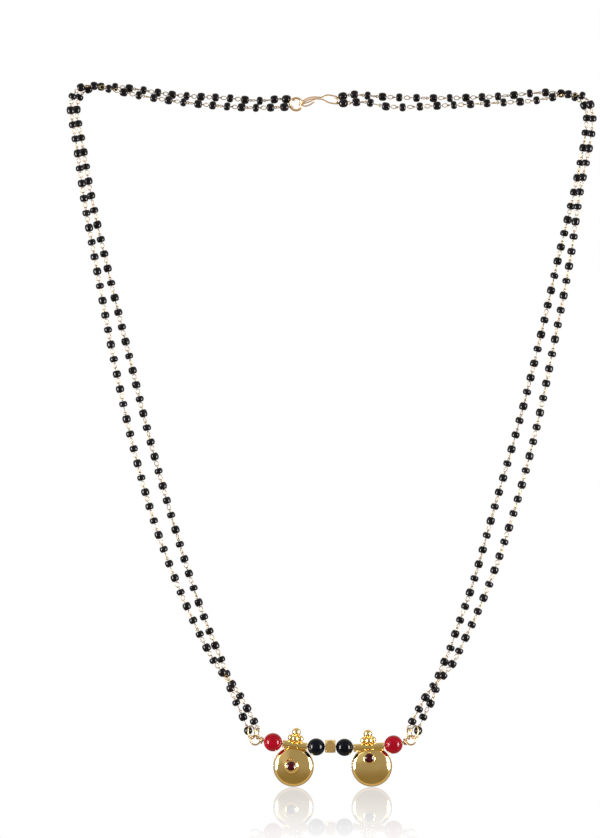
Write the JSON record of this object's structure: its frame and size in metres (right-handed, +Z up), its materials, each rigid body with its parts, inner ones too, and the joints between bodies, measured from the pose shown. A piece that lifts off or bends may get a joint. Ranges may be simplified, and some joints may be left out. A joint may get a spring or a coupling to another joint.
{
  "type": "mangalsutra",
  "caption": "Necklace of small black beads on gold links, closed by a hook and ring, with a wire bar that carries red and black beads and gold cups set with dark red stones.",
  "frame": {"origin": "middle of the top stretch beside the clasp, where the necklace rests on the nape", "axes": "+X to the viewer's right, +Y away from the viewer, +Z up"},
  "size_m": [0.16, 0.0068, 0.213],
  "materials": {
    "small_black_beads": "glossy",
    "gold_chain": "polished",
    "gold_wire": "polished",
    "cup_gold": "polished",
    "red_glass": "glossy, finely veined",
    "black_glass": "glossy",
    "dark_red_stone": "cut and polished"
  },
  "bodies": {
    "necklace": {"left_outer_beads": "small_black_beads", "left_outer_chain": "gold_chain", "left_inner_beads": "small_black_beads", "left_inner_chain": "gold_chain", "right_outer_beads": "small_black_beads", "right_outer_chain": "gold_chain", "right_inner_beads": "small_black_beads", "right_inner_chain": "gold_chain", "clasp_ring": "gold_wire", "clasp_hook": "gold_wire", "left_slim_ring": "gold_wire", "left_oval_ring": "gold_wire", "right_slim_ring": "gold_wire", "right_oval_ring": "gold_wire", "bar_wire": "gold_wire", "center_bead": "cup_gold", "left_red_bead": "red_glass", "right_red_bead": "red_glass", "left_black_bead": "black_glass", "right_black_bead": "black_glass"},
    "left_pendant": {"left_cup": "cup_gold", "left_stone": "dark_red_stone"},
    "right_pendant": {"right_cup": "cup_gold", "right_stone": "dark_red_stone"}
  },
  "joints": [
    {"name": "left_cup_swing", "type": "hinge", "parent": "necklace", "child": "left_pendant", "pos_m": [-0.01093, 0, -0.19455], "axis": [0.9924, 0, -0.1233], "range_deg": [-90, 90]},
    {"name": "right_cup_swing", "type": "hinge", "parent": "necklace", "child": "right_pendant", "pos_m": [0.01137, 0, -0.19512], "axis": [0.9983, 0, 0.0581], "range_deg": [-90, 90]}
  ]
}
